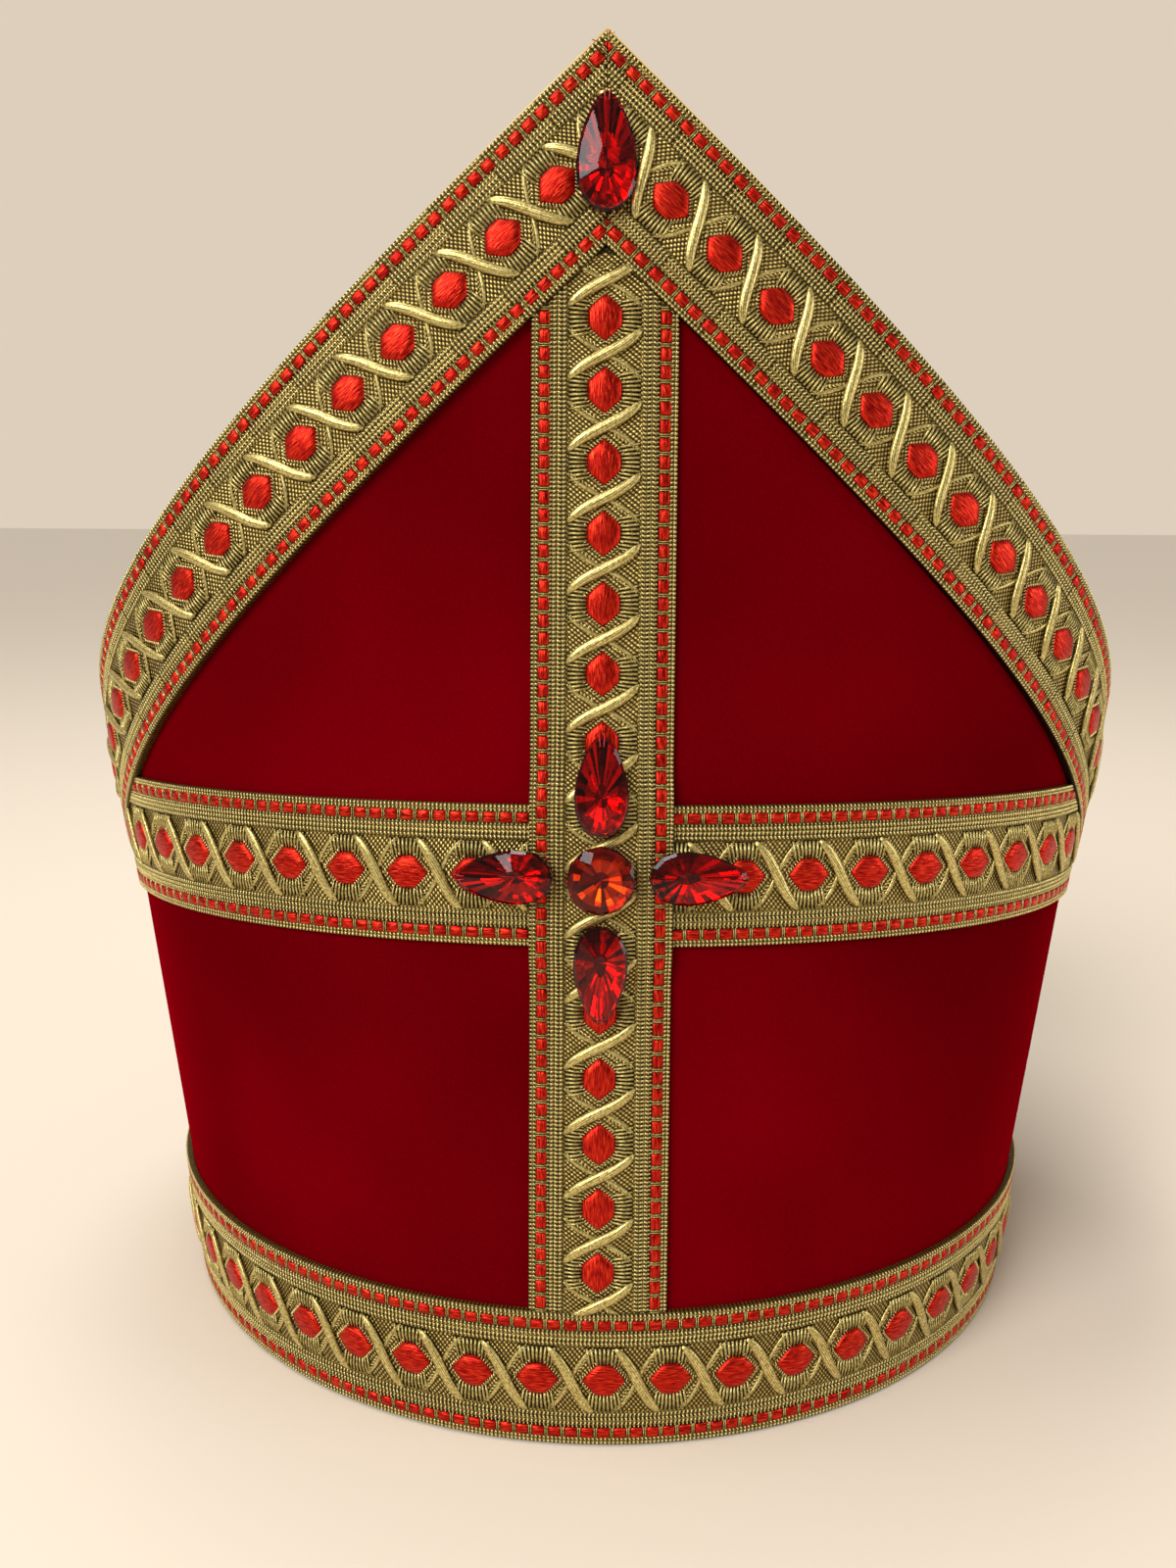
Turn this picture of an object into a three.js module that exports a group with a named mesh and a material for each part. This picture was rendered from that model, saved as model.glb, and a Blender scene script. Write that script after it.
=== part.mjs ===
// A bishop's mitre: two stiff velvet-covered halves that rise to a peak, joined at the
// side seams, lined with satin, edged and crossed with one width of woven galloon, and
// set with faceted red stones on the front.
// Millimetres. X runs to the wearer's left, -Y is the front, +Z is up, and the rim of
// the head opening stands on Z = 0.

import * as THREE from 'three';

// The stiff wall: an oval that widens at the sides and closes front to back as it rises.
const BASE_HALF_WIDTH = 103.4;
const BASE_HALF_DEPTH = 97.5;
const SIDE_FLARE = 0.1276;
const FRONT_RAKE = 0.1127;
const PEAK_HEIGHT = 274.4;
const NOTCH_HEIGHT = 125.6;
const SHELL_THICKNESS = 2.4;
const LINING_THICKNESS = 1.0;
const LINING_ROLL = 1.0;
const LINING_HEM = 1.5;
const GAP = 0.4;

// The galloon: one width of strip used all over.
const GALLOON_WIDTH = 28;
const GALLOON_THICKNESS = 1.2;
const BASE_HEM = 0.5;
const CROSS_HEIGHT = 117;
const CROSS_DROOP = 4.4;
const CROSS_DROOP_REACH = 120;
const STEP_RAMP = 3;
const STEP_MARGIN = 1;

// The stones.
const PEAK_DROP = { length: 21.5, width: 11 };
const CROSS_DROP = { length: 19.7, width: 10.3 };
const DROP_TAPER = 0.3;
const ROUND_DIAMETER = 13.7;
const STONE_SIDES = 16;
const STONE_TILT = 4;
const STONE_ROWS = [
  // arc: along the wall from the middle; height: up the wall; turn: of the narrow end
  // from straight up, in degrees; lift: of the stone's back from the wall.
  { name: 'peak_drop', arc: 0, height: 252.2, turn: 0, lift: 1.9, tilt: 0, cut: PEAK_DROP },
  { name: 'cross_drop_upper', arc: 0, height: 135.3, turn: 0, lift: 3.2 },
  { name: 'cross_drop_lower', arc: 0, height: 98.6, turn: 180, lift: 3.0 },
  { name: 'cross_drop_left', arc: -18.4, height: 117.4, turn: 90, lift: 3.1 },
  { name: 'cross_drop_right', arc: 18.4, height: 117.4, turn: -90, lift: 3.1 },
];
const ROUND_SEAT = { arc: 0, height: 117.2, turn: 0, lift: 3.4, tilt: 0 };
// Each ring of corners up a stone: how far above its back, and how wide for its outline.
const STONE_CUT = [
  { above: 0, wide: 0.94 },
  { above: 0.8, wide: 1 },
  { above: 2.4, wide: 0.74 },
  { above: 3.2, wide: 0.4 },
];

// How finely the curved faces are cut.
const HALF_COLUMNS = 32;
const SHELL_ROWS = 10;
const STRIP_ROWS = 3;
const UPRIGHT_COLUMNS = 4;
const ARC_STEPS = 240;
const SETTLE_ROUNDS = 30;

const halfWidth = (height) => BASE_HALF_WIDTH + SIDE_FLARE * height;
const halfDepth = (height) => BASE_HALF_DEPTH - FRONT_RAKE * height;

// The point on the wall at an angle from the front, lifted straight out from it.
function onWall(angle, height, lift) {
  const wide = halfWidth(height);
  const deep = halfDepth(height);
  const out = new THREE.Vector3(deep * Math.sin(angle), -wide * Math.cos(angle), 0);
  out.normalize().multiplyScalar(lift);
  return out.add(new THREE.Vector3(wide * Math.sin(angle), -deep * Math.cos(angle), height));
}

// The distance along the wall from the front's middle to an angle, at one height.
function arcTo(angle, height) {
  const step = angle / ARC_STEPS;
  let arc = 0;
  for (let k = 0; k < ARC_STEPS; k += 1) {
    const middle = (k + 0.5) * step;
    const across = halfWidth(height) * Math.cos(middle);
    const back = halfDepth(height) * Math.sin(middle);
    arc += Math.hypot(across, back) * step;
  }
  return arc;
}

// The angle whose distance from the front's middle is the given arc.
function angleAt(arc, height) {
  let angle = arc / halfWidth(height);
  for (let k = 0; k < SETTLE_ROUNDS; k += 1) {
    angle += (arc - arcTo(angle, height)) / halfWidth(height);
  }
  return angle;
}

const SIDE_ARC = arcTo(Math.PI / 2, NOTCH_HEIGHT);
const EDGE_SLOPE = (PEAK_HEIGHT - NOTCH_HEIGHT) / SIDE_ARC;
const EDGE_STRETCH = Math.hypot(1, EDGE_SLOPE);

// The raked edge runs straight on the flat pattern, and so does each line beside it.
const rakedLine = (inward) => (arc) => PEAK_HEIGHT - EDGE_SLOPE * arc - inward * EDGE_STRETCH;

// The height at which a column, a share of the way to the side seam, meets a raked line.
function meets(line, share) {
  let height = NOTCH_HEIGHT;
  for (let k = 0; k < SETTLE_ROUNDS; k += 1) {
    height = line(Math.abs(arcTo(seamShare(share, height), height)));
  }
  return height;
}

// The angle of a column that starts and ends half a gap from the seams.
const seamAngle = (height) => Math.acos(GAP / 2 / halfDepth(height));
const seamShare = (share, height) => share * seamAngle(height);
function rakedAngle(share, height) {
  const start = Math.asin(GAP / 2 / halfWidth(height));
  return start + share * (seamAngle(height) - start);
}

// A closed body between an outer and an inner grid of points.
function wall(columns, rows, outer, inner, ring = false) {
  const stands = ring ? columns : columns + 1;
  const positions = [];
  for (let i = 0; i < stands; i += 1) {
    for (let j = 0; j <= rows; j += 1) {
      positions.push(...outer(i, j).toArray());
      positions.push(...inner(i, j).toArray());
    }
  }
  const out = (i, j) => 2 * ((i % stands) * (rows + 1) + j);
  const back = (i, j) => out(i, j) + 1;
  const index = [];
  const corner = (k) => new THREE.Vector3().fromArray(positions, 3 * k);
  // Cuts a four-cornered face along its shorter diagonal, so that slanted faces lie close.
  const quad = (a, b, c, d) => {
    const first = corner(a).distanceTo(corner(c));
    const second = corner(b).distanceTo(corner(d));
    index.push(...(first <= second ? [a, b, c, a, c, d] : [b, c, d, b, d, a]));
  };
  for (let i = 0; i < columns; i += 1) {
    for (let j = 0; j < rows; j += 1) {
      quad(out(i, j), out(i + 1, j), out(i + 1, j + 1), out(i, j + 1));
      quad(back(i, j + 1), back(i + 1, j + 1), back(i + 1, j), back(i, j));
    }
    quad(out(i + 1, 0), out(i, 0), back(i, 0), back(i + 1, 0));
    quad(out(i, rows), out(i + 1, rows), back(i + 1, rows), back(i, rows));
  }
  for (let j = 0; j < rows && !ring; j += 1) {
    quad(out(0, j), out(0, j + 1), back(0, j + 1), back(0, j));
    quad(out(columns, j + 1), out(columns, j), back(columns, j), back(columns, j + 1));
  }
  const body = new THREE.BufferGeometry();
  body.setAttribute('position', new THREE.Float32BufferAttribute(positions, 3));
  body.setIndex(index);
  return body;
}

const blend = (low, high, share) => low + (high - low) * share;

// One half of the wall, or of its lining, from a hem to a raked line.
function halfWall(hem, inward, outerLift, thickness) {
  const tops = [];
  for (let i = 0; i <= HALF_COLUMNS; i += 1) {
    tops.push(meets(rakedLine(inward), 2 * i / HALF_COLUMNS - 1));
  }
  const at = (i, j, lift) => {
    const height = blend(hem, tops[i], j / SHELL_ROWS);
    return onWall(seamShare(2 * i / HALF_COLUMNS - 1, height), height, lift);
  };
  const outer = (i, j) => at(i, j, outerLift);
  const inner = (i, j) => at(i, j, outerLift - thickness);
  return wall(HALF_COLUMNS, SHELL_ROWS, outer, inner);
}

// The strip along one raked edge, from the middle of the peak round to the side seam.
function rakedStrip() {
  const columns = HALF_COLUMNS / 2;
  const low = [];
  const high = [];
  for (let i = 0; i <= columns; i += 1) {
    low.push(meets(rakedLine(GALLOON_WIDTH), i / columns));
    high.push(meets(rakedLine(0), i / columns));
  }
  const at = (i, j, lift) => {
    const height = blend(low[i], high[i], j / STRIP_ROWS);
    return onWall(rakedAngle(i / columns, height), height, lift);
  };
  const outer = (i, j) => at(i, j, GAP + GALLOON_THICKNESS);
  const inner = (i, j) => at(i, j, GAP);
  return wall(columns, STRIP_ROWS, outer, inner);
}

// The strip round the head opening, all in one.
function baseStrip() {
  const columns = 2 * HALF_COLUMNS;
  const at = (i, j, lift) => {
    const height = blend(BASE_HEM, GALLOON_WIDTH, j / STRIP_ROWS);
    return onWall(2 * Math.PI * i / columns, height, lift);
  };
  const outer = (i, j) => at(i, j, GAP + GALLOON_THICKNESS);
  const inner = (i, j) => at(i, j, GAP);
  return wall(columns, STRIP_ROWS, outer, inner, true);
}

// How far the cross strip's middle line hangs below its height at the upright.
const droop = (arc) => CROSS_DROOP * (arc / CROSS_DROOP_REACH) ** 2;

// The strip from side to side, its slanted ends butted to the raked strips.
function crossStrip() {
  const edge = rakedLine(GALLOON_WIDTH + GAP);
  const at = (i, j, lift) => {
    const side = 2 * i / HALF_COLUMNS - 1;
    const level = CROSS_HEIGHT + blend(-GALLOON_WIDTH, GALLOON_WIDTH, j / STRIP_ROWS) / 2;
    let reach = 0;
    for (let k = 0; k < SETTLE_ROUNDS; k += 1) {
      reach = (edge(0) - level + droop(reach)) / EDGE_SLOPE;
    }
    const arc = side * reach;
    const height = level - droop(arc);
    return onWall(angleAt(arc, height), height, lift);
  };
  const outer = (i, j) => at(i, j, GAP + GALLOON_THICKNESS);
  const inner = (i, j) => at(i, j, GAP);
  return wall(HALF_COLUMNS, STRIP_ROWS, outer, inner);
}

// The strip up the middle, stepping over the cross strip.
function uprightStrip() {
  const edge = rakedLine(GALLOON_WIDTH + GAP);
  const under = CROSS_HEIGHT - GALLOON_WIDTH / 2 - STEP_MARGIN;
  const over = CROSS_HEIGHT + GALLOON_WIDTH / 2 + STEP_MARGIN;
  const raised = GAP + GALLOON_THICKNESS;
  const steps = [
    { height: GALLOON_WIDTH + GAP, lift: 0 },
    { height: under - STEP_RAMP, lift: 0 },
    { height: under, lift: raised },
    { height: over, lift: raised },
    { height: over + STEP_RAMP, lift: 0 },
    { height: null, lift: 0 },
  ];
  const at = (i, j, lift) => {
    const arc = GALLOON_WIDTH * (i / UPRIGHT_COLUMNS - 0.5);
    const height = steps[j].height ?? edge(Math.abs(arc));
    return onWall(angleAt(arc, height), height, steps[j].lift + lift);
  };
  const outer = (i, j) => at(i, j, GAP + GALLOON_THICKNESS);
  const inner = (i, j) => at(i, j, GAP);
  return wall(UPRIGHT_COLUMNS, steps.length - 1, outer, inner);
}

// The corners of a stone's outline, the narrow end at the top.
function dropOutline(share, cut) {
  const turn = 2 * Math.PI * share;
  const across = Math.sin(turn) * (1 - DROP_TAPER * Math.cos(turn));
  return new THREE.Vector2(cut.width / 2 * across, cut.length / 2 * Math.cos(turn));
}
function roundOutline(share) {
  const turn = 2 * Math.PI * share;
  return new THREE.Vector2(Math.sin(turn), Math.cos(turn)).multiplyScalar(ROUND_DIAMETER / 2);
}

// A flat-backed faceted stone: rings of corners, closed by a flat back and a table.
function stone(outline) {
  const positions = [];
  for (const ring of STONE_CUT) {
    for (let k = 0; k < STONE_SIDES; k += 1) {
      const corner = outline(k / STONE_SIDES).multiplyScalar(ring.wide);
      positions.push(corner.x, corner.y, ring.above);
    }
  }
  const index = [];
  for (let r = 0; r + 1 < STONE_CUT.length; r += 1) {
    for (let k = 0; k < STONE_SIDES; k += 1) {
      const low = r * STONE_SIDES + k;
      const next = r * STONE_SIDES + (k + 1) % STONE_SIDES;
      index.push(low, low + STONE_SIDES, next);
      index.push(next, low + STONE_SIDES, next + STONE_SIDES);
    }
  }
  const table = (STONE_CUT.length - 1) * STONE_SIDES;
  for (let k = 1; k + 1 < STONE_SIDES; k += 1) {
    index.push(0, k, k + 1);
    index.push(table, table + k + 1, table + k);
  }
  const body = new THREE.BufferGeometry();
  body.setAttribute('position', new THREE.Float32BufferAttribute(positions, 3));
  body.setIndex(index);
  return body;
}

// Lays a stone on the wall: its back along the wall, its narrow end turned and tipped in.
function seated(body, seat) {
  const angle = angleAt(seat.arc, seat.height);
  const centre = onWall(angle, seat.height, seat.lift);
  const up = onWall(angle, seat.height + 1, 0).sub(onWall(angle, seat.height, 0)).normalize();
  const flat = onWall(angle, seat.height, 1).sub(onWall(angle, seat.height, 0));
  const across = new THREE.Vector3().crossVectors(up, flat).normalize();
  const out = new THREE.Vector3().crossVectors(across, up);
  body.rotateX(-THREE.MathUtils.degToRad(seat.tilt));
  body.rotateZ(THREE.MathUtils.degToRad(seat.turn));
  body.applyMatrix4(new THREE.Matrix4().makeBasis(across, up, out));
  body.translate(centre.x, centre.y, centre.z);
  return body;
}

const MATERIALS = {
  velvet: { color: '#7a0014', roughness: 0.95, metalness: 0 },
  satin: { color: '#c9a23a', roughness: 0.4, metalness: 0 },
  galloon: { color: '#a8903f', roughness: 0.5, metalness: 0.3 },
  ruby: { color: '#b00014', roughness: 0.08, metalness: 0 },
  amber: { color: '#c83a10', roughness: 0.08, metalness: 0 },
};

const mitre = new THREE.Group();
mitre.name = 'bishop_mitre';

function add(name, body, material) {
  body.computeVertexNormals();
  const mesh = new THREE.Mesh(body, new THREE.MeshStandardMaterial(MATERIALS[material]));
  mesh.name = name;
  mitre.add(mesh);
}

// Adds a body on the front and the same body, turned about, on the back.
function addBoth(name, make, material) {
  add(`front_${name}`, make(), material);
  add(`back_${name}`, make().rotateZ(Math.PI), material);
}

addBoth('shell', () => halfWall(0, 0, 0, SHELL_THICKNESS), 'velvet');
const liningLift = -SHELL_THICKNESS - GAP;
const lining = () => halfWall(LINING_HEM, -LINING_ROLL, liningLift, LINING_THICKNESS);
addBoth('lining', lining, 'satin');
add('base_galloon', baseStrip(), 'galloon');
addBoth('cross_galloon', crossStrip, 'galloon');
addBoth('upright_galloon', uprightStrip, 'galloon');

// The raked strip is drawn on the wearer's left and mirrored for the other side.
function mirrored(body) {
  body.scale(-1, 1, 1);
  const index = body.getIndex().array;
  for (let k = 0; k < index.length; k += 3) {
    [index[k], index[k + 1]] = [index[k + 1], index[k]];
  }
  return body;
}
addBoth('raked_galloon_right', rakedStrip, 'galloon');
addBoth('raked_galloon_left', () => mirrored(rakedStrip()), 'galloon');

for (const { cut = CROSS_DROP, tilt = STONE_TILT, ...seat } of STONE_ROWS) {
  const outline = (share) => dropOutline(share, cut);
  add(seat.name, seated(stone(outline), { tilt, ...seat }), 'ruby');
}
add('cross_round', seated(stone(roundOutline), ROUND_SEAT), 'amber');

export default mitre;
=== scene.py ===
"""A bishop's mitre: crimson velvet halves lined with gold satin, edged and crossed with
woven galloon of antique gold and red satin, and set with faceted red stones."""

import math
import random

import bmesh
import bpy
import numpy as np
from mathutils import Matrix, Vector


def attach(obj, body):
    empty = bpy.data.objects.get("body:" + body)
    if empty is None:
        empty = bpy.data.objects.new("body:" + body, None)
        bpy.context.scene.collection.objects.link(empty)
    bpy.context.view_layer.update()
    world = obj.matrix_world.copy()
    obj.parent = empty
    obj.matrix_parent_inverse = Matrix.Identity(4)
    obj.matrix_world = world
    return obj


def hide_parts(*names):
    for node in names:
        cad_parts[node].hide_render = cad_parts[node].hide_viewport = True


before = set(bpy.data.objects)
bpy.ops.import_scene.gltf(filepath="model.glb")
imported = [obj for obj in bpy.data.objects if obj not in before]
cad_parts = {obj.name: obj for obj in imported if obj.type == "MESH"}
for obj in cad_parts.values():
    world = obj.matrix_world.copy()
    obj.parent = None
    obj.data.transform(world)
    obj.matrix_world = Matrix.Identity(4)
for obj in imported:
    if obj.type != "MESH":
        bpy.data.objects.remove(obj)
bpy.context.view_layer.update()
MM = 0.001

# --- The wall, in millimetres, as the solids have it ---------------------------------

BASE_HALF_WIDTH = 103.4
BASE_HALF_DEPTH = 97.5
SIDE_FLARE = 0.1276
FRONT_RAKE = 0.1127
PEAK_HEIGHT = 274.4
NOTCH_HEIGHT = 125.6
SHELL_THICKNESS = 2.4
LINING_THICKNESS = 1.0
LINING_GAP = 0.2
SEAM_GAP = 0.04
LINING_ROLL = 1.2
CROSS_HEIGHT = 117.0
CROSS_DROOP = 4.4
CROSS_DROOP_REACH = 120.0


def half_width(height):
    return BASE_HALF_WIDTH + SIDE_FLARE * height


def half_depth(height):
    return BASE_HALF_DEPTH - FRONT_RAKE * height


def outward(angle, height):
    """The level direction straight out of the wall."""
    out = np.stack(
        [
            half_depth(height) * np.sin(angle),
            -half_width(height) * np.cos(angle),
            0 * angle,
        ],
        axis=-1,
    )
    return out / np.linalg.norm(out, axis=-1, keepdims=True)


def on_wall(angle, height, lift):
    """Points on the wall at an angle from the front, lifted straight out of it."""
    angle, height, lift = np.broadcast_arrays(
        np.asarray(angle, float), np.asarray(height, float), np.asarray(lift, float)
    )
    flat = np.stack(
        [half_width(height) * np.sin(angle), -half_depth(height) * np.cos(angle), height],
        axis=-1,
    )
    return flat + outward(angle, height) * lift[..., None]


def arc_to(angle, height, steps=48):
    """The distance along the wall from the front's middle to an angle, at one height."""
    middles = (np.arange(steps) + 0.5) / steps
    turned = np.asarray(angle)[..., None] * middles
    wide = np.asarray(half_width(height))[..., None] * np.cos(turned)
    deep = np.asarray(half_depth(height))[..., None] * np.sin(turned)
    return np.hypot(wide, deep).mean(axis=-1) * angle


def angle_at(arc, height, rounds=16):
    """The angle whose distance from the front's middle is the given arc."""
    arc, height = np.broadcast_arrays(np.asarray(arc, float), np.asarray(height, float))
    angle = arc / half_width(height)
    for _ in range(rounds):
        speed = np.hypot(
            half_width(height) * np.cos(angle), half_depth(height) * np.sin(angle)
        )
        angle = angle + (arc - arc_to(angle, height)) / speed
    return angle


SIDE_ARC = float(arc_to(np.float64(math.pi / 2), np.float64(NOTCH_HEIGHT)))
EDGE_SLOPE = (PEAK_HEIGHT - NOTCH_HEIGHT) / SIDE_ARC
EDGE_STRETCH = math.hypot(1, EDGE_SLOPE)
WALL_SLANT = 1 / math.hypot(1, FRONT_RAKE)

# --- The galloon's own measures -------------------------------------------------------

WIDTH = 28.0
MIDDLE = WIDTH / 2
PITCH = 13.41
RAKED_PITCH = 13.8
BASE_REPEATS = 47
BASE_JOIN = 0.08
FIELD_HALF = 6.9
STITCHES = 16
UV_SHIFT = 0.02
MITRE_GAP = 0.12


def droop(arc):
    return CROSS_DROOP * (arc / CROSS_DROOP_REACH) ** 2


def smooth_step(low, high, value):
    share = np.clip((value - low) / (high - low), 0, 1)
    return share * share * (3 - 2 * share)


# Each strip says where a point lies on the wall's flat pattern, by its distance along
# the strip and up from its lower selvedge, and how far its ground stands off the wall.
BASE_LIFT = 1.25
CROSS_LIFT = 0.9
RAKED_LIFT = 1.7
STEP = 1.3
STEP_RAMP = 6.0
UPRIGHT_FOOT = 20.0
UPRIGHT_LENGTH = 221.0
CROSS_REACH = 152.0
RAKED_LENGTH = SIDE_ARC * EDGE_STRETCH + 22.0
BASE_LENGTH = float(arc_to(np.float64(2 * math.pi), np.float64(MIDDLE), 400))


def base_place(along, up):
    angle = np.interp(along - BASE_LENGTH / 2, BASE_ARCS, BASE_ANGLES)
    return angle, 0.4 + up * (WIDTH - 0.4) / WIDTH, BASE_LIFT + 0 * up


BASE_ANGLES = np.linspace(-math.pi - 0.2, math.pi + 0.2, 1200)
BASE_ARCS = arc_to(BASE_ANGLES, np.full(BASE_ANGLES.shape, MIDDLE), 400)


def upright_place(along, up):
    height = UPRIGHT_FOOT + along * WALL_SLANT
    arc = MIDDLE - up
    half = MIDDLE + 1.0
    over = smooth_step(-half - STEP_RAMP, -half, height - CROSS_HEIGHT)
    over = over * (1 - smooth_step(half, half + STEP_RAMP, height - CROSS_HEIGHT))
    return angle_at(arc, height), height, CROSS_LIFT + STEP * over


def cross_place(along, up):
    arc = along - CROSS_REACH
    height = CROSS_HEIGHT + up - MIDDLE - droop(arc)
    return angle_at(arc, height), height, CROSS_LIFT + 0 * arc


def raked_right_place(along, up):
    arc = (along + (up - WIDTH) * EDGE_SLOPE) / EDGE_STRETCH
    height = PEAK_HEIGHT + (up - WIDTH - EDGE_SLOPE * along) / EDGE_STRETCH
    return angle_at(arc, height), height, RAKED_LIFT + 0 * arc


def raked_left_place(along, up):
    arc = (up * EDGE_SLOPE - along) / EDGE_STRETCH
    height = PEAK_HEIGHT - (up + EDGE_SLOPE * along) / EDGE_STRETCH
    return angle_at(arc, height), height, RAKED_LIFT + 0 * arc


# --- Small helpers --------------------------------------------------------------------


def linear(code, alpha=1.0):
    """An sRGB hex colour as linear RGBA."""
    parts = [int(code[k : k + 2], 16) / 255 for k in (1, 3, 5)]
    turned = [c / 12.92 if c <= 0.04045 else ((c + 0.055) / 1.055) ** 2.4 for c in parts]
    return (*turned, alpha)


def node(tree, kind, settings=None, **links):
    """Adds a node with its settings; each link is an input's name or number and a value."""
    made = tree.nodes.new(kind)
    for key, value in (settings or {}).items():
        setattr(made, key, value)
    for key, value in links.items():
        place = int(key[1:]) if key[0] == "i" and key[1:].isdigit() else key.replace("_", " ")
        socket = made.inputs[place]
        if isinstance(value, bpy.types.NodeSocket):
            tree.links.new(value, socket)
        elif isinstance(value, bpy.types.Node):
            tree.links.new(value.outputs[0], socket)
        else:
            socket.default_value = value
    return made


def calc(tree, operation, *values):
    links = {f"i{k}": value for k, value in enumerate(values)}
    return node(tree, "ShaderNodeMath", {"operation": operation}, **links).outputs[0]


def link_object(name, mesh):
    made = bpy.data.objects.new(name, mesh)
    bpy.context.scene.collection.objects.link(made)
    return made


def mesh_of(name, points, faces, smooth=True):
    mesh = bpy.data.meshes.new(name)
    mesh.from_pydata([tuple(p) for p in points], [], [tuple(f) for f in faces])
    mesh.validate()
    if smooth:
        mesh.shade_smooth()
    return mesh


class Parts:
    """Gathers closed little shapes, in millimetres, into one mesh with a thread map."""

    def __init__(self):
        self.points, self.faces, self.threads = [], [], []

    def add(self, points, faces, threads):
        start = len(self.points)
        self.points += [tuple(p) for p in points]
        self.faces += [tuple(start + k for k in face) for face in faces]
        self.threads += [tuple(t) for t in threads]

    def mesh(self, name):
        made = mesh_of(name, self.points, self.faces)
        layer = made.attributes.new("thread", "FLOAT_VECTOR", "POINT")
        layer.data.foreach_set("vector", np.array(self.threads, float).ravel())
        return made


def pillow(parts, centre, outline, rise, rings):
    """A closed cushion: an outline that shrinks ring by ring to a crowned top."""
    outline = np.asarray(outline, float)
    count = len(outline)
    points, threads, faces = [], [], []
    for share, up in rings:
        for x, y in outline * share:
            points.append((centre[0] + x, centre[1] + y, centre[2] + rise * up))
            threads.append((centre[0] + x, centre[1] + y, up))
    points.append((centre[0], centre[1], centre[2] + rise))
    threads.append((centre[0], centre[1], 1.0))
    top = len(rings) * count
    for r in range(len(rings) - 1):
        for k in range(count):
            n = (k + 1) % count
            low, high = r * count, (r + 1) * count
            faces.append((low + k, low + n, high + n, high + k))
    last = (len(rings) - 1) * count
    faces += [(last + k, last + (k + 1) % count, top) for k in range(count)]
    faces.append(tuple(reversed(range(count))))
    parts.add(points, faces, threads)


def swept(parts, path, wide, tall, sides):
    """A closed cord along a path lying on the strip, its ends closed flat."""
    path = np.asarray(path, float)
    run = np.gradient(path, axis=0)
    across = np.stack([-run[:, 1], run[:, 0], 0 * run[:, 0]], axis=1)
    across /= np.linalg.norm(across, axis=1, keepdims=True)
    lengths = np.concatenate([[0], np.cumsum(np.linalg.norm(np.diff(path, axis=0), axis=1))])
    points, threads, faces = [], [], []
    for k, centre in enumerate(path):
        for j in range(sides):
            turn = 2 * math.pi * j / sides
            side = across[k] * math.cos(turn) * wide[k]
            points.append(centre + side + np.array([0, 0, math.sin(turn) * tall[k]]))
            threads.append((lengths[k], j / sides, 0))
    for k in range(len(path) - 1):
        for j in range(sides):
            n = (j + 1) % sides
            low, high = k * sides, (k + 1) * sides
            faces.append((low + j, low + n, high + n, high + j))
    faces.append(tuple(reversed(range(sides))))
    faces.append(tuple(range(len(points) - sides, len(points))))
    parts.add(points, faces, threads)


STRANDS = 14
# a stitch reads the cord's colour at a strand's crown, so each stitch takes the cord's painted highlight
# tone all over
STRAND_CROWN = 0.5 / STRANDS


def dash(parts, centre, long, wide, rise, turn=0.0):
    """One short stitch: a closed, four-cornered foot under a short ridge of thread."""
    x, y, z = centre
    run = (math.cos(turn), math.sin(turn))
    corners = [(long, wide, 0), (-long, wide, 0), (-long, -wide, 0), (long, -wide, 0)]
    corners += [(0.55 * long, 0, rise), (-0.55 * long, 0, rise)]
    points = [
        (x + run[0] * a - run[1] * b, y + run[1] * a + run[0] * b, z + c)
        for a, b, c in corners
    ]
    faces = [(0, 1, 5, 4), (1, 2, 5), (2, 3, 4, 5), (3, 0, 4), (3, 2, 1, 0)]
    # painted highlight: every corner of the stitch takes the strand-crown tone
    parts.add(points, faces, [(0, STRAND_CROWN, 0.5)] * 6)


# --- Materials ------------------------------------------------------------------------


def new_material(name):
    material = bpy.data.materials.new(name)
    material.use_nodes = True
    tree = material.node_tree
    tree.nodes.clear()
    return material, tree


def finish_material(tree, **sockets):
    shader = node(tree, "ShaderNodeBsdfPrincipled", None, **sockets)
    node(tree, "ShaderNodeOutputMaterial", None, Surface=shader)
    return shader


def ramp(tree, value, *stops):
    made = node(tree, "ShaderNodeValToRGB", None, Fac=value)
    elements = made.color_ramp.elements
    while len(elements) < len(stops):
        elements.new(0.5)
    for element, (place, code) in zip(elements, stops):
        element.position = place
        element.color = linear(code)
    return made.outputs["Color"]


def bump_of(tree, height, distance, strength=1.0):
    return node(
        tree,
        "ShaderNodeBump",
        None,
        Strength=strength,
        Distance=distance * MM,
        Height=height,
    ).outputs[0]


def velvet():
    """Cut-pile silk velvet: deep crimson face on, paler where the pile is seen edge on."""
    material, tree = new_material("crimson_cut_pile_velvet")
    place = node(tree, "ShaderNodeTexCoord").outputs["Object"]
    nap = node(tree, "ShaderNodeTexNoise", None, Vector=place, Scale=14.0, Detail=2.0)
    pile = node(tree, "ShaderNodeTexNoise", None, Vector=place, Scale=2200.0, Detail=2.0)
    tone = calc(tree, "MULTIPLY_ADD", pile.outputs["Fac"], 0.5, nap.outputs["Fac"])
    colour = ramp(tree, tone, (0.5, "#520005"), (0.75, "#600007"), (1.0, "#6E0009"))
    finish_material(
        tree,
        Base_Color=colour,
        Roughness=0.95,
        Specular_IOR_Level=0.0,
        Sheen_Weight=0.5,
        Sheen_Roughness=0.28,
        Sheen_Tint=linear("#E0001C"),
        Normal=bump_of(tree, pile.outputs["Fac"], 0.15, 0.6),
    )
    return material


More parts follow.
